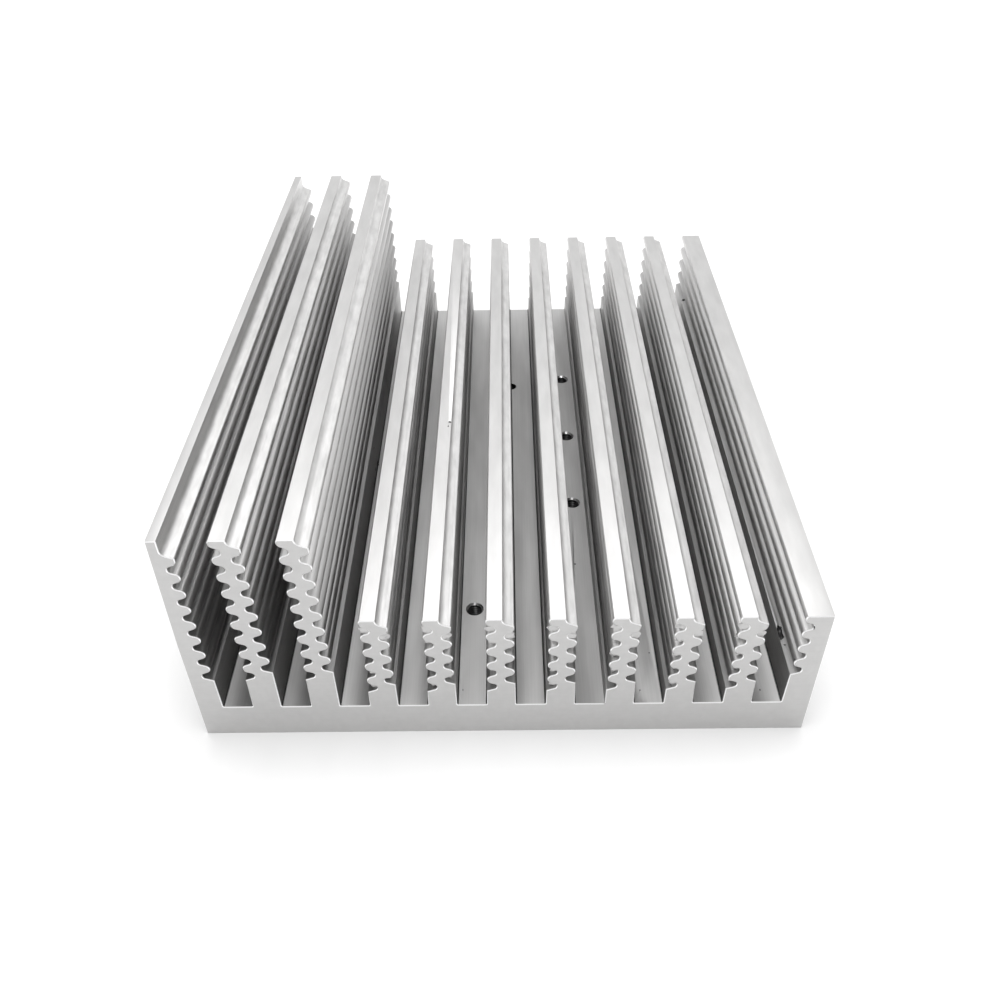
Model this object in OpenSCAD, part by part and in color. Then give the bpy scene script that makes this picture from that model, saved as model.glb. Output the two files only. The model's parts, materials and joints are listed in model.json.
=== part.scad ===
// Extruded aluminium heat sink.
// One length of a finned section: a flat base plate, three tall fins on the left and eight
// short fins on the right. The two outermost fins are the edge walls, smooth on the outside.
// Ribs run along the fins to give them more surface, and five holes are drilled and tapped
// through the base for what is bolted under it.
// Frame: X across the fins, Y along the extrusion, Z up. The origin is at the middle of the
// underside.

/* [Extrusion] */
// Cut length of the extrusion
length = 130; // [40:1:400]
// Thickness of the base plate
base_t = 7; // [3:0.5:15]
// Height of the tall fins over the underside of the base
tall_h = 44; // [20:0.5:80]
// Height of the short fins over the underside of the base
short_h = 27.3; // [16:0.1:60]

/* [Fins] */
// Number of tall fins, the left edge wall among them
tall_count = 3; // [1:1:8]
// Number of short fins, the right edge wall among them
short_count = 8; // [1:1:20]
// Distance from one fin to the next
fin_pitch = 9.6; // [7:0.1:16]
// Thickness of an inner fin where it meets the floor of the gap
root_t = 4.7; // [3.6:0.1:6]
// Thickness of the tall edge wall where it meets the floor of the gap
tall_edge_root_t = 4.1; // [3.2:0.05:8]
// Thickness of the short edge wall where it meets the floor of the gap
short_edge_root_t = 4.6; // [3.2:0.05:8]

/* [Ribs] */
// Distance from one rib to the next, up the side of a fin
rib_pitch = 3.36; // [2.6:0.02:4.4]
// Radius of the round bottom of a groove between two ribs
groove_r = 0.65; // [0.4:0.05:0.8]
// Slope of a rib's flanks, in degrees from level
flank_slope = 21; // [12:1:28]
// Depth of the ribs on the tall fins
tall_rib_depth = 1.58; // [1.2:0.02:1.9]
// Depth of the ribs on the short fins
short_rib_depth = 1.52; // [1.2:0.02:1.9]
// Metal left between the grooves on the two sides of an inner fin
web_t = 1.36; // [0.8:0.02:2]
// Metal left behind the grooves of the tall edge wall
tall_edge_web_t = 2.35; // [1.4:0.05:5]
// Metal left behind the grooves of the short edge wall
short_edge_web_t = 2.8; // [1.4:0.05:5]
// How far the upper half of the tall edge wall's outer face leans in at the top
tall_edge_lean = 0.45; // [0:0.05:0.8]
// Radius of the outer corner on top of an edge wall
edge_corner_r = 0.25; // [0.1:0.05:0.5]
// Plain height between the floor and the lowest groove of a tall fin
tall_plain_h = 7.6; // [3:0.1:12]
// Plain height between the floor and the lowest groove of a short fin
short_plain_h = 4.3; // [3:0.1:8]
// Height of the flat land on top of a fin over the middle of its highest rib
land_over_rib = 0.62; // [0.2:0.02:0.8]
// How far the grooves on a fin's right lie above those on its left
rib_stagger = 1.8; // [1.2:0.05:2]

/* [Step along the top] */
// Radius of the hollow step beside the land
step_r = 1.1; // [0.7:0.05:1.4]
// How far the land's edge is set back behind the bottoms of the grooves
step_setback = 0.3; // [0:0.05:0.8]
// Radius of the outer corner of the shoulder beside the step
shoulder_r = 0.3; // [0.1:0.05:0.6]

/* [Tapped holes] */
// Drilled diameter of a hole before it is tapped
tap_drill_d = 2.5; // [1.6:0.1:4.2]
// Diameter of the countersunk rim of a hole
rim_d = 3.2; // [1.8:0.1:4.8]
// Gap that holds the single hole, counted from the left edge wall
single_gap = 5; // [1:1:10]
// Distance of the single hole from the front end
single_y = 21.4; // [5:0.1:35]
// Gap that holds the row of holes
row_gap = 7; // [1:1:10]
// Distance of the first hole of the row from the front end
row_y = 50.6; // [5:0.1:80]
// Distance between the holes of the row
row_pitch = 22.7; // [8:0.1:26]
// Number of holes in the row
row_count = 3; // [1:1:4]
// Fin whose right face the offset hole is centred under, counted from the left edge wall
offset_fin = 6; // [2:1:10]
// Distance of the offset hole from the front end
offset_y = 93.2; // [5:0.1:110]
// How far the drill of the offset hole runs up into the fin's root
offset_nick_h = 1.6; // [0.4:0.1:3]

/* [Hidden] */
$fn = 72;

fin_count = tall_count + short_count;
gap_w = fin_pitch - root_t;
width = tall_edge_root_t + (fin_count - 1) * gap_w + (fin_count - 2) * root_t + short_edge_root_t;
rib_half = rib_pitch / 2;
// The plain root stands this far proud of the crests of the ribs
root_proud = 0.08;
// Shapes that meet on a tangent overlap by this much
lap = 0.004;
// A cutting shape runs this far past what it cuts
past = 1;
rim_depth = (rim_d - tap_drill_d) / 2;
drill_point_h = tap_drill_d / 2 / tan(59);

// Left side of gap i and right face of fin i at the floor, counted from 1 at the left
function gap_left(i) = -width / 2 + tall_edge_root_t + (i - 1) * fin_pitch;
function gap_mid(i) = gap_left(i) + gap_w / 2;
function fin_mid(i) = gap_left(i) - root_t / 2;

// Radius of a rib's crest, so that straight flanks meet both arcs
function crest_r(depth) =
    (rib_half * cos(flank_slope) + (groove_r - depth) * sin(flank_slope) - groove_r)
    / (1 - sin(flank_slope));

// Middle of the highest groove under a closed rib, below the land
function closed_drop(depth) = rib_half + min(land_over_rib, 0.8 * crest_r(depth));

// Heights of the grooves' middles on one side, from the highest down
function levels(first, plain_h) =
    [for (z = first; z >= base_t + plain_h; z = z - rib_pitch) z];

// Ends of a flank between the groove at height z and the rib above (dir 1) or below (dir -1),
// in from the arc of radius r round the middle c
function flank_end(c, r, dir, toward) =
    c + (r - lap) * toward * [sin(flank_slope), -dir * cos(flank_slope)];

// Middle of the arc of the hollow step that replaces the groove at height z:
// the arc touches the straight flank of the rib below
function step_mid(z) = [
    step_r - step_setback,
    z + (step_r - groove_r - (step_r - step_setback - groove_r) * sin(flank_slope))
        / cos(flank_slope)
];

// The shoulder that the hollow step leaves: the round crest of radius r about the middle c is
// filled out to a small outer corner, along its upper flank and its outermost plumb line
module shoulder(c, r) {
    edge_x = c[0] + r;
    flank = flank_end(c, r + lap, -1, 1);
    run = edge_x - shoulder_r + shoulder_r * sin(flank_slope) - flank[0];
    corner = [
        edge_x - shoulder_r,
        flank[1] - run * tan(flank_slope) - shoulder_r * cos(flank_slope)
    ];
    translate(corner)
        circle(r = shoulder_r);
    polygon([
        c,
        flank_end(c, r, -1, 1),
        flank_end(corner, shoulder_r, -1, 1),
        corner + [shoulder_r - lap, 0],
        [edge_x - lap, c[1]]
    ]);
}

// What is cut from one side of a fin: grooves with round bottoms between round ribs.
// X 0 is at the bottom of the grooves. The highest groove of an open side is the hollow step.
module side_cut(depth, top, zs, open_top) {
    last = len(zs) - 1;
    cr = crest_r(depth);
    function groove_mid(i) = [groove_r, zs[i]];
    function crest_mid(i, dir) = [depth - cr, zs[i] + dir * rib_half];
    function upper(i) = [
        flank_end(crest_mid(i, 1), cr, 1, 1),
        flank_end(groove_mid(i), groove_r, 1, -1)
    ];
    function lower(i) = [
        flank_end(groove_mid(i), groove_r, -1, -1),
        flank_end(crest_mid(i, -1), cr, -1, 1)
    ];
    start = open_top
        ? [
            [lap - step_setback, top + past],
            [lap - step_setback, step_mid(zs[0])[1]],
            step_mid(zs[0]),
            flank_end(step_mid(zs[0]), step_r, -1, -1),
            lower(0)[1]
        ]
        : concat(
            [[depth - cr, top + past], crest_mid(0, 1)],
            upper(0),
            lower(0)
        );
    foot = lower(last)[0];
    out = depth + past;
    difference() {
        union() {
            polygon(concat(
                [for (i = [0:len(start) - (last == 0 ? 2 : 1)]) start[i]],
                [for (i = [1:1:last - 1]) each concat(upper(i), lower(i))],
                last > 0 ? concat(upper(last), [foot]) : [],
                [
                    [out, foot[1] - (out - foot[0]) * tan(flank_slope)],
                    [out, top + past]
                ]
            ));
            for (i = [(open_top ? 1 : 0):1:last])
                translate(groove_mid(i))
                    circle(r = groove_r);
            if (open_top)
                translate(step_mid(zs[0]))
                    circle(r = step_r);
        }
        for (i = [(open_top ? 1 : 0):1:last])
            translate(crest_mid(i, 1))
                circle(r = cr);
        if (open_top)
            shoulder(crest_mid(0, -1), cr);
    }
}

// Section of an inner fin, standing on X 0: a closed ribbed side on its left and, half a rib
// higher, a ribbed side on its right that ends in the hollow step
module inner_fin(top, depth, plain_h) {
    left = levels(top - closed_drop(depth), plain_h);
    right = levels(top - closed_drop(depth) + rib_stagger, plain_h);
    crest_x = web_t / 2 + depth + root_proud;
    difference() {
        polygon([
            [-root_t / 2, base_t / 2],
            [-root_t / 2, base_t],
            [-crest_x, left[len(left) - 1]],
            [-crest_x, top],
            [crest_x, top],
            [crest_x, right[len(right) - 1]],
            [root_t / 2, base_t],
            [root_t / 2, base_t / 2]
        ]);
        mirror([1, 0])
            translate([web_t / 2, 0])
                side_cut(depth, top, left, false);
        translate([web_t / 2, 0])
            side_cut(depth, top, right, true);
    }
}

// What is cut off the outer corner on top of an edge wall to leave it round. The smooth face
// leans in by the angle tilt above half height.
module edge_corner_cut(top, tilt) {
    middle = [
        (edge_corner_r + (top / 2 - edge_corner_r) * sin(tilt)) / cos(tilt),
        top - edge_corner_r
    ];
    difference() {
        translate([-past, middle[1]])
            square([middle[0] + past, edge_corner_r + past]);
        translate(middle)
            circle(r = edge_corner_r + lap);
    }
}

// Section of an edge wall with its smooth face on X 0 and its ribs towards +X. The upper half of
// the smooth face leans in by lean at the top.
module edge_wall(top, depth, edge_root_t, edge_web_t, lean, plain_h, open_top) {
    zs = levels(top - closed_drop(depth), plain_h);
    crest_x = edge_web_t + depth + root_proud;
    difference() {
        polygon([
            [0, base_t / 2],
            [0, top / 2],
            [lean, top],
            [crest_x, top],
            [crest_x, zs[len(zs) - 1]],
            [edge_root_t, base_t],
            [edge_root_t, base_t / 2]
        ]);
        edge_corner_cut(top, atan(lean / (top / 2)));
        translate([edge_web_t, 0])
            side_cut(depth, top, zs, open_top);
    }
}

// A section in X and Z, run along Y to the cut length
module extruded() {
    rotate([90, 0, 0])
        linear_extrude(height = length, center = true)
            children();
}

// The whole extrusion: the base plate, the two edge walls and the inner fins between them
module extrusion() {
    extruded()
        translate([-width / 2, 0])
            square([width, base_t]);
    extruded()
        translate([-width / 2, 0])
            edge_wall(
                tall_h, tall_rib_depth, tall_edge_root_t, tall_edge_web_t, tall_edge_lean,
                tall_plain_h, true
            );
    extruded()
        translate([width / 2, 0])
            mirror([1, 0])
                edge_wall(
                    short_h, short_rib_depth, short_edge_root_t, short_edge_web_t, 0,
                    tall_plain_h, false
                );
    for (i = [2:1:fin_count - 1])
        extruded()
            translate([fin_mid(i), 0])
                if (i <= tall_count)
                    inner_fin(tall_h, tall_rib_depth, tall_plain_h);
                else
                    inner_fin(short_h, short_rib_depth, short_plain_h);
}

// A hole drilled up from the underside to height h, with a countersunk rim below
module drilled(h) {
    translate([0, 0, -past])
        cylinder(d = tap_drill_d, h = h + past);
    translate([0, 0, -past])
        cylinder(d1 = rim_d + 2 * past, d2 = tap_drill_d, h = rim_depth + past);
}

// A hole through the base, with a countersunk rim on both faces
module through_hole() {
    drilled(base_t + past);
    translate([0, 0, base_t - rim_depth])
        cylinder(d1 = tap_drill_d, d2 = rim_d, h = rim_depth);
}

// The hole that comes up half under a fin and leaves the drill's nick in its root
module offset_hole() {
    drilled(base_t + offset_nick_h);
    translate([0, 0, base_t + offset_nick_h])
        cylinder(d1 = tap_drill_d, d2 = 0, h = drill_point_h);
}

module heat_sink() {
    color("silver")
        difference() {
            extrusion();
            translate([gap_mid(single_gap), single_y - length / 2, 0])
                through_hole();
            for (k = [0:1:row_count - 1])
                translate([gap_mid(row_gap), row_y + k * row_pitch - length / 2, 0])
                    through_hole();
            translate([fin_mid(offset_fin) + root_t / 2, offset_y - length / 2, 0])
                offset_hole();
        }
}

heat_sink();
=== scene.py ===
import json
import math
import random

import bpy
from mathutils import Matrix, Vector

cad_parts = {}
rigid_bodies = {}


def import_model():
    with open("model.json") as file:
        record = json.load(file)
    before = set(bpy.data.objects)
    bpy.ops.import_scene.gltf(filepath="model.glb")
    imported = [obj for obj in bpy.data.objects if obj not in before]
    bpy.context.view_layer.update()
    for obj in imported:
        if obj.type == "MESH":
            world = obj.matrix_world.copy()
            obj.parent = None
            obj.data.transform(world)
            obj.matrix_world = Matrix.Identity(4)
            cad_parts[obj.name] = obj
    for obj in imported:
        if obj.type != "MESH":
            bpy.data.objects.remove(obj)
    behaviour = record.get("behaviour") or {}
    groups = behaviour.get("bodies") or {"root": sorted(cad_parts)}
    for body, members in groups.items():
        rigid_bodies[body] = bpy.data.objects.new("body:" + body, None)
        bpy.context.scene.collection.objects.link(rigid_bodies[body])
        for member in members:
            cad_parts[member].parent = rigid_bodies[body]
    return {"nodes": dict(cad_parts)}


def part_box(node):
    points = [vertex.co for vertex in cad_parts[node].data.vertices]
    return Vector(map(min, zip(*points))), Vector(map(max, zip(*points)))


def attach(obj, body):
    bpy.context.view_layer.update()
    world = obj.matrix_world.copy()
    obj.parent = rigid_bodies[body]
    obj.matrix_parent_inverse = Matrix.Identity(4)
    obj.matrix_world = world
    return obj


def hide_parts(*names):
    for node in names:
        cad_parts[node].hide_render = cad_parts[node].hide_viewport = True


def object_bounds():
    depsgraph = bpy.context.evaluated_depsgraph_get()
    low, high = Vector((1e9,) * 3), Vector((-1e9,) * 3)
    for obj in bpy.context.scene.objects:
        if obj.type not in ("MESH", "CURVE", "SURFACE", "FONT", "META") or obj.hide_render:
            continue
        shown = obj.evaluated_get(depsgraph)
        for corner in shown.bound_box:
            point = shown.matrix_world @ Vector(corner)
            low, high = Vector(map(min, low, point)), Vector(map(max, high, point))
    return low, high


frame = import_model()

bpy.context.view_layer.update()
cad_low, cad_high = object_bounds()
mm = 0.001
print("CAD box in mm, from:", [round(v / mm, 2) for v in cad_low])
print("to:", [round(v / mm, 2) for v in cad_high])

# %% [markdown]
# ## What this lesson builds
# An extruded heat sink is one length of aluminium, pushed hot through a steel die and sawn off.
# It is a single piece, so there is nothing to assemble. What makes it look real is the
# difference between its surfaces: the skin that slid through the die, the tops of the fins that
# other lengths have rubbed bright, the two sawn ends, and the holes that were drilled and tapped
# later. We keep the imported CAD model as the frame, refine a copy of it, and give each kind of
# surface a finish of its own.
#
# ## Camera
# The camera stands in front of the sawn end, a little above the part, and looks down at 40
# degrees. It is close, so the fins converge towards the back. A camera could be aimed with a
# Track To constraint, but three plain angles are easier to read and never move by themselves.

# %% Camera
bpy.ops.object.camera_add(
    location=(1.465 * mm, -163.462 * mm, 134.502 * mm),
    rotation=(math.radians(49.662), math.radians(0.885), math.radians(-0.002)),
)
camera = bpy.context.object
camera.name = "camera"
camera.data.sensor_width = 36
camera.data.lens = 34.706
camera.data.clip_start = 10 * mm
bpy.context.scene.camera = camera
print("camera height in mm:", round(camera.location.z / mm, 1))

# %% [markdown]
# ## Building materials from nodes
# A material is a small network of nodes. Linking nodes by hand is fine for one material, but in
# a script the same few steps come back, so each gets a short function: one adds a node and fills
# its inputs, one does a sum, one maps a range to another, and one gives the place in the frame.

# %% Node helpers
def new_material(name):
    """A new material, and its Principled shader."""
    material = bpy.data.materials.new(name)
    material.use_nodes = True
    return material, material.node_tree.nodes["Principled BSDF"]


def feed(material, value, socket):
    """Link value to socket if it is another node's output, or set it as a plain value."""
    if isinstance(value, bpy.types.NodeSocket):
        material.node_tree.links.new(value, socket)
    else:
        socket.default_value = value


def add_node(material, kind, settings=None, **inputs):
    """Add a node with its settings. Inputs go by name, or as i0, i1, ... by number."""
    node = material.node_tree.nodes.new(kind)
    for name, value in (settings or {}).items():
        setattr(node, name, value)
    for name, value in inputs.items():
        by_number = name[0] == "i" and name[1:].isdigit()
        feed(material, value, node.inputs[int(name[1:]) if by_number else name])
    return node


def maths(material, operation, a, b=0.0, clamp=False):
    settings = {"operation": operation, "use_clamp": clamp}
    return add_node(material, "ShaderNodeMath", settings, i0=a, i1=b).outputs[0]


def remap(material, value, low, high, to_low, to_high):
    """Map value from low..high to to_low..to_high, and hold it at the ends."""
    inputs = {"i0": value, "i1": low, "i2": high, "i3": to_low, "i4": to_high}
    return add_node(material, "ShaderNodeMapRange", {"clamp": True}, **inputs).outputs[0]


def place(material):
    """Object coordinates, which are metres in the frame."""
    return add_node(material, "ShaderNodeTexCoord").outputs["Object"]


def grey(value, warm=0.0):
    """A grey with a little warmth."""
    return (value * (1 + warm), value, value * (1 - warm), 1)


# %% [markdown]
# ## The paper floor
# The part lies on white paper. Far from the part the paper is drawn a little brighter where the
# camera or a reflection meets it, so that it stays white where the light falls off. Close to the
# part it isn't, so it keeps the shadow under the edges, and no light glows up through the holes.
# The distance from the part is that from its rectangle on the floor: the place without its sign,
# less half the part's size, and never below zero.

# %% Floor
PAPER = 0.80             # reflectance of the paper
NEAR_LIFT = 0.13         # what the paper adds where it is seen, just clear of the part
FAR_LIFT = 0.35          # and what it adds far away
CLEAR, FAR = 14 * mm, 600 * mm
PAPER_SIZE = 6           # metres
paper, paper_shader = new_material("floor_paper")
paper_shader.inputs["Base Color"].default_value = grey(PAPER)
paper_shader.inputs["Roughness"].default_value = 0.9
paper_shader.inputs["Specular IOR Level"].default_value = 0.0
rays = add_node(paper, "ShaderNodeLightPath")
seen = maths(paper, "ADD", rays.outputs["Is Camera Ray"], rays.outputs["Is Glossy Ray"])
seen = maths(paper, "ADD", seen, rays.outputs["Is Transmission Ray"], clamp=True)


def vector_maths(material, operation, a, b=(0, 0, 0)):
    return add_node(material, "ShaderNodeVectorMath", {"operation": operation}, i0=a, i1=b).outputs


unsigned = vector_maths(paper, "ABSOLUTE", place(paper))["Vector"]
outside = vector_maths(paper, "SUBTRACT", unsigned, (cad_high.x, cad_high.y, 0))["Vector"]
outside = vector_maths(paper, "MAXIMUM", outside)["Vector"]
gone = vector_maths(paper, "LENGTH", outside)["Value"]
near_lift = remap(paper, gone, 0.0, CLEAR, 0.0, NEAR_LIFT)
far_lift = remap(paper, gone, CLEAR, FAR, 0.0, FAR_LIFT - NEAR_LIFT)
lift = maths(paper, "MULTIPLY", seen, maths(paper, "ADD", near_lift, far_lift))
paper_shader.inputs["Emission Color"].default_value = (1, 1, 1, 1)
feed(paper, lift, paper_shader.inputs["Emission Strength"])

bpy.ops.object.select_all(action="DESELECT")
bpy.ops.mesh.primitive_plane_add(size=PAPER_SIZE, location=(0, 0, 0))
floor = bpy.context.object
floor.name = "floor"
floor.data.materials.append(paper)
print("floor at", floor.location.z)

# %% [markdown]
# ## Light
# Bare metal shows little colour of its own: it shows what stands around it. A large soft box
# overhead and a pale room are enough. The box ends a little behind the part, so the flat tops
# of the fins reflect it in front and the dimmer room at the back, and fade along their length.
# An area light sends out its power over its whole face and into half of all directions, so its
# radiance times pi times its area is the energy that it needs.

# %% Light
ROOM = 0.85              # radiance of the room all round
BOX_RADIANCE = 1.6       # radiance of the soft box
BOX_X, BOX_Y = 0.8, 1.0
BOX_PLACE = (0, 0.02, 0.62)
room = bpy.data.worlds.new("room")
room.use_nodes = True
room.node_tree.nodes["Background"].inputs["Color"].default_value = (1, 1, 1, 1)
room.node_tree.nodes["Background"].inputs["Strength"].default_value = ROOM
bpy.context.scene.world = room
bpy.ops.object.light_add(type="AREA", location=BOX_PLACE)
box_light = bpy.context.object
box_light.name = "overhead_box"
box_light.data.shape = "RECTANGLE"
box_light.data.size = BOX_X
box_light.data.size_y = BOX_Y
box_light.data.energy = BOX_RADIANCE * math.pi * BOX_X * BOX_Y
bpy.context.scene.view_settings.view_transform = "Standard"
print("box energy in W:", round(box_light.data.energy, 2))

# %% [markdown]
# ## The body
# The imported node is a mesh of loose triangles. We never change it: we duplicate it, merge the
# copy's doubles, and dissolve the edges inside flat faces, so that each flank, land and floor is
# one clean face again. Modelling the section afresh would be possible, but then the shown part
# could drift away from the one that is measured.

# %% Body
MERGE = 0.002 * mm
FLAT = math.radians(0.05)


def only(obj):
    """Select obj alone and make it the active object."""
    bpy.ops.object.select_all(action="DESELECT")
    obj.select_set(True)
    bpy.context.view_layer.objects.active = obj


def edit(obj):
    """Open obj in edit mode with all of it selected."""
    only(obj)
    bpy.ops.object.mode_set(mode="EDIT")
    bpy.ops.mesh.select_all(action="SELECT")


def leave_edit():
    bpy.ops.object.mode_set(mode="OBJECT")


low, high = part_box("heat_sink")
only(frame["nodes"]["heat_sink"])
bpy.ops.object.duplicate()
body = bpy.context.object
body.name = "extrusion"
bpy.ops.mesh.customdata_custom_splitnormals_clear()
edit(body)
bpy.ops.mesh.remove_doubles(threshold=MERGE)
bpy.ops.mesh.dissolve_limited(angle_limit=FLAT, delimit={"NORMAL"})
leave_edit()
print("faces of the merged copy:", len(body.data.polygons))

# %% [markdown]
# ## The measures that the finishes need
# A finish goes by place, so a few measures of the section are repeated here: the pitch of the
# fins, the gap between two of them, and the heights of the floor and of the fin tops. They could
# be found by searching the mesh, but a maker would read them off the drawing, and so do we.

# %% Measures
FIN_COUNT = 11
TALL_COUNT = 3
FIN_PITCH = 9.6 * mm
GAP_W = 4.9 * mm
WALL_T = 4.1 * mm        # the tall edge wall at its foot
BASE_TOP = 7 * mm
SHORT_TOP = 27.3 * mm
TOUCH = 0.01 * mm        # two places that are closer than this are the same
front = low.y


def gap_left(i):
    """X of the left side of gap i, which is the right face of fin i at the floor."""
    return low.x + WALL_T + (i - 1) * FIN_PITCH


def fin_mid(i):
    """X of the middle of inner fin i."""
    return gap_left(i) - (FIN_PITCH - GAP_W) / 2


def fin_top(i):
    return high.z if i <= TALL_COUNT else SHORT_TOP


print("fin middles in mm:", [round(fin_mid(i) / mm, 2) for i in range(2, FIN_COUNT)])

# %% [markdown]
# ## One slot for each finish
# One mesh can carry many materials: each face holds the number of its slot. The slots are made
# first and stay empty of looks for now, so that the cuts that follow can already name the finish
# of the faces that they leave.

# %% Finish numbers
SKIN, FLOOR, CORNER, LAND, SHOULDER, SAWN, EDGE, BORE, RIM, TORN = range(10)
finish_names = [
    "ribbed_skin", "gap_floor", "painted_shade_corner", "rubbed_land", "rubbed_shoulder",
    "sawn_end", "broken_edge_and_painted_highlight", "tapped_bore_painted_shade", "hole_rim_and_painted_highlight", "torn_metal_painted_shade",
]
finishes = [new_material(name)[0] for name in finish_names]
body.data.materials.clear()
for finish in finishes:
    body.data.materials.append(finish)
print("finishes:", len(body.data.materials))

# %% [markdown]
# ## Which surface is which
# Before anything is cut, each face gets the number of its finish from its place and its normal:
# the floors of the gaps, the lands on top of the fins, the shoulders beside them, the sawn ends,
# the drilled bores and their countersunk rims, and the ribbed skin for all that is left. Faces
# that are made later take their number from the face or the tool that made them.

# %% Faces of the holes
HOLE_R = 1.25 * mm
RIM_R = 1.6 * mm
RIM_DEPTH = RIM_R - HOLE_R
LONE_HOLE, SIDE_HOLE = 21.4, 93.2      # from the front end, in mm
ROW_START, ROW_STEP = 50.6, 22.7
hole_places = [(gap_left(5) + GAP_W / 2, front + LONE_HOLE * mm)]
hole_places += [
    (gap_left(7) + GAP_W / 2, front + (ROW_START + ROW_STEP * k) * mm) for k in range(3)
]
hole_places += [(gap_left(6), front + SIDE_HOLE * mm)]


def in_hole(face):
    """A face whose corners all lie on or inside the rim of a hole."""
    for x, y in hole_places:
        corners = [body.data.vertices[v].co for v in face.vertices]
        if max(math.hypot(c.x - x, c.y - y) for c in corners) < RIM_R + 2 * TOUCH:
            return True
    return False


def on_rim(face):
    """The cone of a countersunk rim. It stands at 45 degrees, so its normal's Z is about 0.7."""
    sloping = 0.5 < abs(face.normal.z) < 0.9
    below = face.center.z < RIM_DEPTH
    above = abs(face.center.z - BASE_TOP + RIM_DEPTH / 2) < RIM_DEPTH
    return sloping and (below or above)


print("holes in mm:", [(round(x / mm, 2), round(y / mm, 2)) for x, y in hole_places])

# %% Faces of the fins and the ends
SHOULDER_FROM, SHOULDER_TO = -0.4 * mm, 3 * mm      # across, from the middle of the fin
SHOULDER_DROP = 3.4 * mm
FACES_UP, FACES_OUT = 0.9, 0.99
HARDLY_UP = 0.02


def on_land(face):
    """The flat top of a fin."""
    drops = [abs(face.center.z - fin_top(i)) for i in range(1, FIN_COUNT + 1)]
    return face.normal.z > FACES_UP and min(drops) < 5 * TOUCH


def on_shoulder(face):
    """The hollow step and the shoulder on the right of a fin's land."""
    for i in range(1, FIN_COUNT):
        right_half = fin_mid(i) + SHOULDER_FROM < face.center.x < fin_mid(i) + SHOULDER_TO
        high_up = fin_top(i) - SHOULDER_DROP < face.center.z < fin_top(i)
        if right_half and high_up and face.normal.z > HARDLY_UP:
            return True
    return False


def finish_of(face):
    if abs(face.normal.y) > FACES_OUT and abs(abs(face.center.y) - high.y) < TOUCH:
        return SAWN
    if in_hole(face):
        return RIM if on_rim(face) else BORE
    if face.normal.z > FACES_OUT and abs(face.center.z - BASE_TOP) < TOUCH:
        return FLOOR
    if on_land(face):
        return LAND
    return SHOULDER if on_shoulder(face) else SKIN


counts = dict.fromkeys(finish_names, 0)
for face in body.data.polygons:
    face.material_index = finish_of(face)
    counts[finish_names[face.material_index]] += 1
print("faces of each finish:", counts)

# %% [markdown]
# ## Corners and broken edges
# A die can't cut a perfectly sharp inner corner, so the fins meet the floor in a small round.
# The saw leaves sharp edges, which are broken with a file. Both are the Bevel operator: on the
# long edges at the foot of the fins, and on the whole outline of the two sawn ends.

# %% Foot of the fins
FOOT_R = 0.22 * mm
LONG_EDGE = 1 * mm


def pick_edges(obj, test):
    """Select the edges of obj whose two ends pass the test, and stay in edit mode."""
    only(obj)
    bpy.ops.object.mode_set(mode="EDIT")
    bpy.ops.mesh.select_mode(type="EDGE")
    bpy.ops.mesh.select_all(action="DESELECT")
    leave_edit()
    points = obj.data.vertices
    picked = [
        edge for edge in obj.data.edges
        if test(points[edge.vertices[0]].co, points[edge.vertices[1]].co)
    ]
    for edge in picked:
        edge.select = True
    bpy.ops.object.mode_set(mode="EDIT")
    return len(picked)


gap_sides = [gap_left(i) for i in range(1, FIN_COUNT)]
gap_sides += [side + GAP_W for side in gap_sides]


def at_foot(a, b):
    """An edge along the part, at the level of the floors and at the side of a gap."""
    level = max(abs(a.z - BASE_TOP), abs(b.z - BASE_TOP)) < TOUCH
    side = min(max(abs(a.x - x), abs(b.x - x)) for x in gap_sides) < TOUCH
    return level and side and abs(a.y - b.y) > LONG_EDGE


print("foot edges:", pick_edges(body, at_foot))
bpy.ops.mesh.bevel(offset=FOOT_R, segments=2, affect="EDGES", clamp_overlap=False, material=CORNER)
leave_edit()

# %% Edges of the sawn ends
EDGE_W = 0.14 * mm


def pick_faces(obj, test):
    """Select the faces of obj that pass the test, and return how many there are."""
    only(obj)
    bpy.ops.object.mode_set(mode="EDIT")
    bpy.ops.mesh.select_mode(type="FACE")
    bpy.ops.mesh.select_all(action="DESELECT")
    leave_edit()
    picked = [face for face in obj.data.polygons if test(face)]
    for face in picked:
        face.select = True
    return len(picked)


print("sawn faces:", pick_faces(body, lambda face: face.material_index == SAWN))
bpy.ops.object.mode_set(mode="EDIT")
bpy.ops.mesh.region_to_loop()
bpy.ops.mesh.bevel(offset=EDGE_W, segments=1, affect="EDGES", clamp_overlap=False, material=EDGE)
leave_edit()
print("faces with broken edges:", len(body.data.polygons))

# %% [markdown]
# ## Threads
# A tapped hole has a spiral groove. The Screw modifier winds a small triangle up the hole's
# axis, and a boolean takes it from the drilled bore. The groove stops just below the countersunk
# rim. A bump map would be lighter, but a bump only shades a wall, and here one looks down the
# hole and sees the turns of the groove stand out against each other.

# %% Tools for cutting
def keep_modifiers(obj):
    """Apply every modifier of obj in order."""
    only(obj)
    for modifier in list(obj.modifiers):
        bpy.ops.object.modifier_apply(modifier=modifier.name)


def place_in_mesh(obj):
    """Put the place, turn and scale of obj into its mesh, so that its origin is the frame's."""
    only(obj)
    bpy.ops.object.transform_apply(location=True, rotation=True, scale=True)


def join(pieces):
    """Join the pieces into the first one."""
    only(pieces[0])
    for piece in pieces:
        piece.select_set(True)
    bpy.ops.object.join()
    return pieces[0]


def boolean(obj, tool, operation):
    """Cut tool from obj, or add it, with the tool's material on the new faces."""
    modifier = obj.modifiers.new("boolean", "BOOLEAN")
    modifier.operation = operation
    modifier.solver = "EXACT"
    modifier.material_mode = "TRANSFER"
    modifier.object = tool
    keep_modifiers(obj)
    bpy.data.objects.remove(tool)


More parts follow.
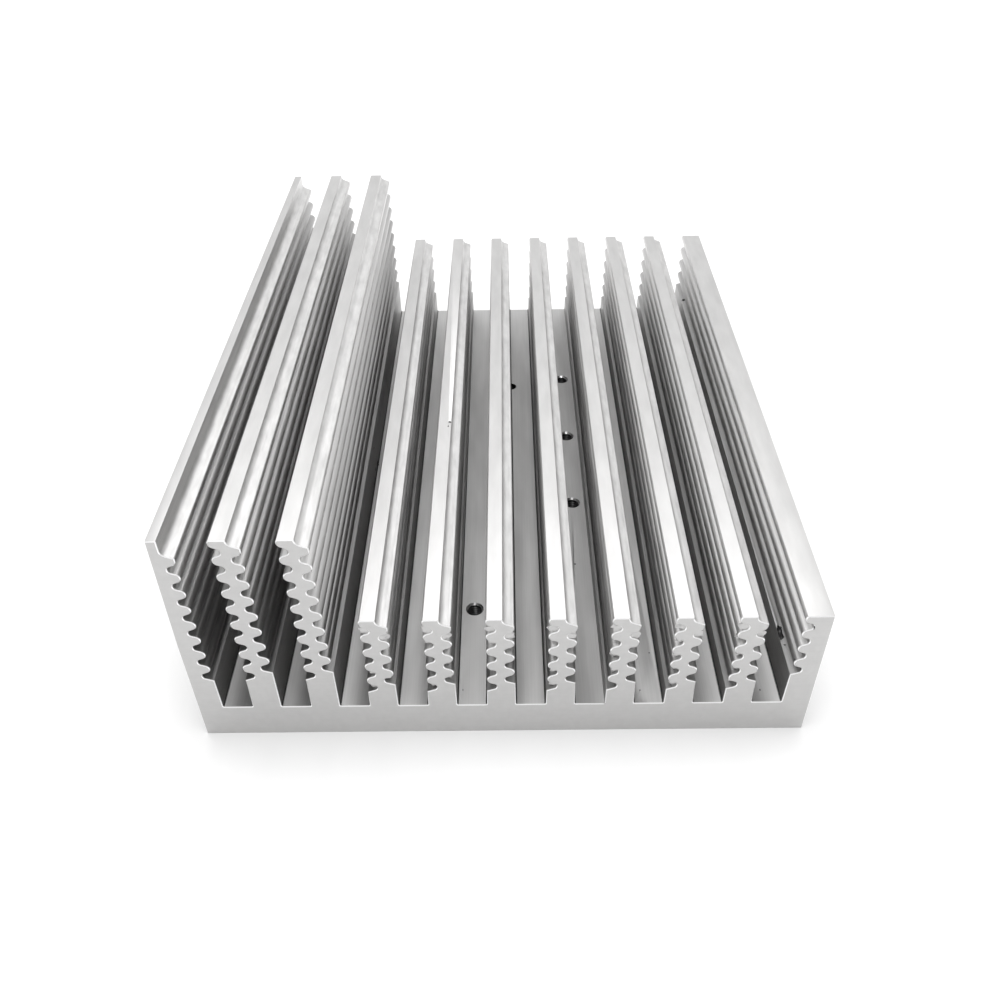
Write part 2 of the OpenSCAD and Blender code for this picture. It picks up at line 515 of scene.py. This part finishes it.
# %% Threads
THREAD_PITCH = 0.5 * mm
CREST_R, ROOT_R = 1.15 * mm, 1.5 * mm
THREAD_HALF = 0.24 * mm
TURN_STEPS = 24


def thread_cutter(x, y):
    """A triangle wound up a hole's axis, to be cut from the drilled bore."""
    bpy.ops.object.select_all(action="DESELECT")
    bpy.ops.mesh.primitive_circle_add(vertices=3, radius=1 * mm, location=(0, 0, 0))
    cutter = bpy.context.object
    corners = [(CREST_R, -THREAD_HALF), (ROOT_R, 0), (CREST_R, THREAD_HALF)]
    for vertex, (r, z) in zip(cutter.data.vertices, corners):
        vertex.co = (r, 0, z)
    screw = cutter.modifiers.new("thread", "SCREW")
    screw.screw_offset = THREAD_PITCH
    screw.iterations = round(BASE_TOP / THREAD_PITCH)    # it starts one turn below the base
    screw.steps = TURN_STEPS
    screw.render_steps = TURN_STEPS
    screw.use_merge_vertices = False
    keep_modifiers(cutter)
    edit(cutter)
    bpy.ops.mesh.fill_holes(sides=3)
    bpy.ops.mesh.normals_make_consistent(inside=False)
    leave_edit()
    cutter.location = (x, y, -THREAD_PITCH)
    cutter.data.materials.append(finishes[BORE])
    place_in_mesh(cutter)
    return cutter


boolean(body, join([thread_cutter(x, y) for x, y in hole_places]), "DIFFERENCE")
print("faces with threads:", len(body.data.polygons))

# %% [markdown]
# ## Wear and damage
# This length has lain among others. One rib is gouged and torn near the front on the right, a
# fin is nicked on top, and there are pits and scratches in the gaps. Each mark is an uneven
# lump that a boolean cuts from the body. An ico sphere is a good start for a lump, because
# Randomize moves its evenly spread corners without stretching them. The places and sizes are a
# list, because damage follows no rule.

# %% Damage
LUMPY = 0.3              # how far a corner of a lump moves, as a share of its radius
DAMAGE_SEED = 10


def lump(spot, size, seed, finish, turn=0.0):
    """An uneven ball at a spot, both in mm, with its own size along X, Y and Z."""
    bpy.ops.object.select_all(action="DESELECT")
    bpy.ops.mesh.primitive_ico_sphere_add(subdivisions=2, radius=1, location=(0, 0, 0))
    ball = bpy.context.object
    edit(ball)
    bpy.ops.transform.vertex_random(offset=LUMPY, uniform=1.0, normal=0.0, seed=seed)
    leave_edit()
    ball.scale = [v * mm for v in size]
    ball.rotation_euler = (0, 0, math.radians(turn))
    ball.location = [v * mm for v in spot]
    ball.data.materials.append(finishes[finish])
    place_in_mesh(ball)
    return ball


torn_places = [
    # place, size and turn about Z
    ((45.85, -56.1, 14.15), (0.50, 1.90, 0.45), 0),     # the gouge in the lowest rib on the right
    ((45.95, -58.9, 14.25), (0.28, 0.35, 0.30), 0),     # the pit in front of it
    ((45.80, -64.6, 17.10), (0.16, 0.25, 0.20), 0),
    ((47.25, -65.0, 24.80), (0.09, 0.20, 0.42), 0),     # a mark on the sawn end
    ((46.15, 55.9, 14.50), (0.45, 0.60, 0.90), 0),      # a dent near the back
    ((-26.60, -1.3, 7.30), (0.30, 1.25, 0.45), 0),      # marks at the foot of the third fin
    ((-26.72, -4.2, 8.20), (0.20, 0.55, 0.35), 0),
    ((-26.75, -3.1, 12.90), (0.18, 0.45, 0.30), 0),
    ((-26.68, -7.4, 7.35), (0.12, 1.90, 0.20), 0),
    ((-9.70, -14.1, 27.35), (0.26, 0.36, 0.16), 20),    # nicks in the fifth fin's land
    ((-9.95, -15.5, 27.35), (0.17, 0.24, 0.14), 0),
    ((13.70, -32.3, 7.02), (0.17, 0.24, 0.12), 0),      # pits in the floors
    ((22.65, -62.3, 7.02), (0.12, 0.16, 0.09), 0),
    ((42.40, -62.5, 7.02), (0.15, 0.18, 0.09), 0),
    ((25.10, -54.3, 7.02), (0.10, 0.15, 0.09), 0),
    ((-6.65, -61.9, 7.02), (0.10, 0.14, 0.08), 0),
    ((12.75, -15.7, 7.02), (0.16, 0.20, 0.10), 0),
]
marks = [
    lump(spot, size, DAMAGE_SEED + k, TORN, turn) for k, (spot, size, turn) in enumerate(torn_places)
]
boolean(body, join(marks), "DIFFERENCE")
print("faces with damage:", len(body.data.polygons))

# %% [markdown]
# ## Burrs in the grooves
# The saw smears soft metal into the grooves it crosses. The uppermost grooves of the short fins
# are partly closed by it, and the lower ones only hold a crumb further in. The bottom of a groove
# is measured as the point of the sawn outline that is nearest to the middle of its fin.

# %% Groove bottoms
HALF_FIN = 3.2 * mm          # looked at on either side of a fin's middle
ROOT_H = 3 * mm              # the plain foot of a fin holds no groove
BELOW_LAND, BELOW_SHOULDER = 1.2 * mm, 3.6 * mm
HALF_GROOVE = 1.2 * mm
APART = 1 * mm               # two grooves on one side are further apart than this


def groove_bottoms(i, side):
    """The bottoms of the grooves on one side of a fin's front end, from the top down."""
    outline = []
    highest = fin_top(i) - (BELOW_SHOULDER if side > 0 else BELOW_LAND)
    for vertex in body.data.vertices:
        x, y, z = vertex.co
        across = (x - fin_mid(i)) * side
        on_end = abs(y - front) < TOUCH and 0 < across < HALF_FIN
        if on_end and BASE_TOP + ROOT_H < z < highest:
            outline.append((across, z))
    found = []
    for across, z in sorted(outline, key=lambda point: -point[1]):
        beside = [a for a, other in outline if abs(other - z) < HALF_GROOVE]
        if across <= min(beside) + 1e-7 and (not found or found[-1][1] - z > APART):
            found.append((across, z))
    return [(fin_mid(i) + side * across, z) for across, z in found]


bottoms = {
    (i, side): groove_bottoms(i, side)
    for i in range(TALL_COUNT + 1, FIN_COUNT) for side in (-1, 1)
}
print("grooves on each side:", [len(found) for found in bottoms.values()])

# %% Burrs
draw = random.Random(7)
BURR_SEED = 100
BURR_BACK = 0.42 * mm        # the middle of a burr lies this far behind the sawn face
BURR_OUT = 0.6 * mm          # and this far out from the bottom of its groove
BURR_X, BURR_Y, BURR_Z = 1.05, 0.28, 0.74      # a full burr's half sizes in mm
burrs = []
for (i, side), found in bottoms.items():
    for rank, (x, z) in enumerate(found):
        share = draw.uniform(0.95, 1.15) if rank == 0 else draw.uniform(0.5, 0.85)
        if rank == 1:
            share += 0.15
        deeper = BURR_BACK + (0 if rank == 0 else draw.uniform(0.3, 1.2) * mm)
        spot = ((x + side * BURR_OUT) / mm, (front + deeper) / mm, z / mm)
        size = (BURR_X * share, BURR_Y, BURR_Z * share)
        burrs.append(lump(spot, size, BURR_SEED + len(burrs), SAWN))
print("burrs:", len(burrs))
boolean(body, join(burrs), "UNION")
print("faces with burrs:", len(body.data.polygons))

# %% [markdown]
# ## Bare metal
# All finishes are the same aluminium: a Principled shader with Metallic at 1. What differs is
# how bright and how rough each surface is, and how its small marks lie. A few short functions
# hold what the finishes share, so each finish below is only its own numbers.

# %% Metal helpers
WARM = 0.006
NOISE_RANGE = (0.3, 0.7)     # noise seldom leaves this range


def noise(material, per_m, detail=2.0, roughness=0.5):
    """Noise with its own number of waves per metre along X, Y and Z."""
    mapping = add_node(material, "ShaderNodeMapping", Vector=place(material), Scale=per_m)
    inputs = {
        "Vector": mapping.outputs[0], "Scale": 1.0, "Detail": detail, "Roughness": roughness,
    }
    return add_node(material, "ShaderNodeTexNoise", **inputs).outputs["Fac"]


def mostly(material, main, extra, share):
    """The main noise, plus a share of an extra one."""
    return maths(material, "ADD", maths(material, "MULTIPLY", extra, share), main)


def metal(number, brightness, roughness):
    """Set a finish up as bare metal. Its colour and roughness can still be linked."""
    shader = finishes[number].node_tree.nodes["Principled BSDF"]
    shader.inputs["Metallic"].default_value = 1.0
    shader.inputs["Base Color"].default_value = grey(brightness)
    shader.inputs["Roughness"].default_value = roughness
    return shader


def shade(material, shader, darkest, brightest, mask):
    """Link a grey that runs from the darkest to the brightest by the mask."""
    node = add_node(
        material, "ShaderNodeMix", {"data_type": "RGBA"},
        i0=mask, i6=grey(darkest, WARM), i7=grey(brightest, WARM),
    )
    feed(material, node.outputs[2], shader.inputs["Base Color"])


def bump(material, shader, height, depth):
    """Raise the surface by depth, in metres, where height is 1."""
    node = add_node(material, "ShaderNodeBump", Height=height, Distance=depth, Strength=1.0)
    feed(material, node.outputs["Normal"], shader.inputs["Normal"])


# %% [markdown]
# ## The extruded skin
# The die draws fine lines along the part. They are noise that is squeezed across the part and
# stretched along it. The skin is painted lighter high on each fin and darker down towards the
# floor: painted shade of the deep gaps. The two heights of fin need their own tops to measure from.

# %% Skin
# painted shade: the skin darkens from the first of these depths to the second, down from the top of
# the fin
PAINTED_SHADE_FROM, PAINTED_SHADE_TO = 2 * mm, 15 * mm      # down from the top of the fin
skin = finishes[SKIN]
skin_shader = metal(SKIN, 0.5, 0.42)
skin_place = add_node(skin, "ShaderNodeSeparateXYZ", i0=place(skin))
tall_side = maths(skin, "LESS_THAN", skin_place.outputs["X"], gap_left(TALL_COUNT) + GAP_W / 2)
top_here = remap(skin, tall_side, 0.0, 1.0, SHORT_TOP, high.z)
drop = maths(skin, "SUBTRACT", top_here, skin_place.outputs["Z"])
# painted shade: 1 high on the fin, falling to 0 towards the floor
painted_gap_shade = remap(skin, drop, PAINTED_SHADE_FROM, PAINTED_SHADE_TO, 1.0, 0.0)
fine_lines = noise(skin, per_m=(5500, 45, 5500), detail=3, roughness=0.6)
wide_lines = noise(skin, per_m=(1100, 90, 1100), detail=2)
level = maths(skin, "MULTIPLY", painted_gap_shade, 0.85)
level = maths(skin, "ADD", level, remap(skin, fine_lines, *NOISE_RANGE, -0.12, 0.12))
level = maths(skin, "ADD", level, remap(skin, wide_lines, *NOISE_RANGE, -0.10, 0.10))
shade(skin, skin_shader, 0.41, 0.76, level)
feed(skin, remap(skin, wide_lines, *NOISE_RANGE, 0.38, 0.50), skin_shader.inputs["Roughness"])
bump(skin, skin_shader, mostly(skin, wide_lines, fine_lines, 0.25), 0.05 * mm)
print("nodes in the skin:", len(skin.node_tree.nodes))

# %% [markdown]
# ## The gap floors
# Nothing rubs the floors, so they keep the even grey of the press, with streaks along the part.
# The round at the foot of each fin is painted nearly black: painted shade of the corner.

# %% Floors of the gaps
FLOOR_GREY = 0.53
gap_floor = finishes[FLOOR]
floor_shader = metal(FLOOR, FLOOR_GREY, 0.42)
floor_lines = noise(gap_floor, per_m=(6000, 25, 6000), detail=3, roughness=0.6)
floor_cloud = noise(gap_floor, per_m=(300, 60, 300), detail=2)
level = mostly(gap_floor, floor_cloud, floor_lines, 0.6)
level = remap(gap_floor, level, 0.55, 1.05, 0.0, 1.0)
shade(gap_floor, floor_shader, 0.90 * FLOOR_GREY, 1.10 * FLOOR_GREY, level)
bump(gap_floor, floor_shader, floor_lines, 0.005 * mm)
# painted shade: the round at the foot of the fins is set nearly black
metal(CORNER, 0.14, 0.4)
print("nodes in the gap floor:", len(gap_floor.node_tree.nodes))

# %% [markdown]
# ## The rubbed tops
# The lands and shoulders touch whatever lies on them, so they are the smoothest and brightest.
# A slow, long noise makes their reflections wave a little, as on metal that was drawn, not ground.

# %% Lands
LAND_GREY = 0.66
land = finishes[LAND]
land_shader = metal(LAND, LAND_GREY, 0.36)
land_lines = noise(land, per_m=(4000, 30, 4000), detail=2)
land_cloud = noise(land, per_m=(500, 120, 500), detail=3)
level = remap(land, land_cloud, *NOISE_RANGE, 0.0, 1.0)
shade(land, land_shader, 0.94 * LAND_GREY, 1.05 * LAND_GREY, level)
bump(land, land_shader, mostly(land, land_cloud, land_lines, 0.2), 0.018 * mm)
print("nodes in the land:", len(land.node_tree.nodes))

# %% Shoulders
SHOULDER_GREY = 0.69
shoulder = finishes[SHOULDER]
shoulder_shader = metal(SHOULDER, SHOULDER_GREY, 0.45)
shoulder_lines = noise(shoulder, per_m=(2500, 60, 2500), detail=3)
shoulder_cloud = noise(shoulder, per_m=(900, 250, 900), detail=3)
waves = mostly(shoulder, shoulder_cloud, shoulder_lines, 0.5)
level = remap(shoulder, waves, 0.5, 1.0, 0.0, 1.0)
shade(shoulder, shoulder_shader, 0.86 * SHOULDER_GREY, 1.10 * SHOULDER_GREY, level)
bump(shoulder, shoulder_shader, waves, 0.05 * mm)
print("nodes in the shoulder:", len(shoulder.node_tree.nodes))

# %% [markdown]
# ## The cut surfaces
# A fine saw leaves lines across the end, stretched along X and close together in height. The
# broken edges and hole rims are fresh metal, with a painted highlight on top: their grey is set
# brighter than the metal alone. Bores and torn places are painted dark inside: painted shade.

# %% Sawn ends and cuts
SAWN_GREY = 0.53
sawn = finishes[SAWN]
sawn_shader = metal(SAWN, SAWN_GREY, 0.5)
saw_lines = noise(sawn, per_m=(90, 1, 3500), detail=2)
saw_cloud = noise(sawn, per_m=(900, 900, 900), detail=4)
marks = mostly(sawn, saw_cloud, saw_lines, 0.5)
level = remap(sawn, marks, 0.5, 1.0, 0.0, 1.0)
shade(sawn, sawn_shader, 0.97 * SAWN_GREY, 1.03 * SAWN_GREY, level)
bump(sawn, sawn_shader, marks, 0.006 * mm)
# fresh filed metal, brightened further as a painted highlight along the edges
metal(EDGE, 0.92, 0.3)
# painted shade: the bores are set nearly black inside
metal(BORE, 0.14, 0.3)
# fresh cut metal, brightened further as a painted highlight around each hole
metal(RIM, 0.9, 0.25)
# painted shade: gouges, nicks and pits are set nearly black inside
metal(TORN, 0.10, 0.35)
print("nodes in the sawn end:", len(sawn.node_tree.nodes))

# %% [markdown]
# ## Hand the body over
# Smoothing by angle keeps the rounded ribs smooth and the sawn edges sharp. The body then takes
# the place of the CAD node that it was copied from.

# %% The body is done
SMOOTH = math.radians(32)
only(body)
bpy.ops.object.shade_smooth_by_angle(angle=SMOOTH)
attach(body, "root")
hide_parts("heat_sink")
print("faces of the finished body:", len(body.data.polygons))
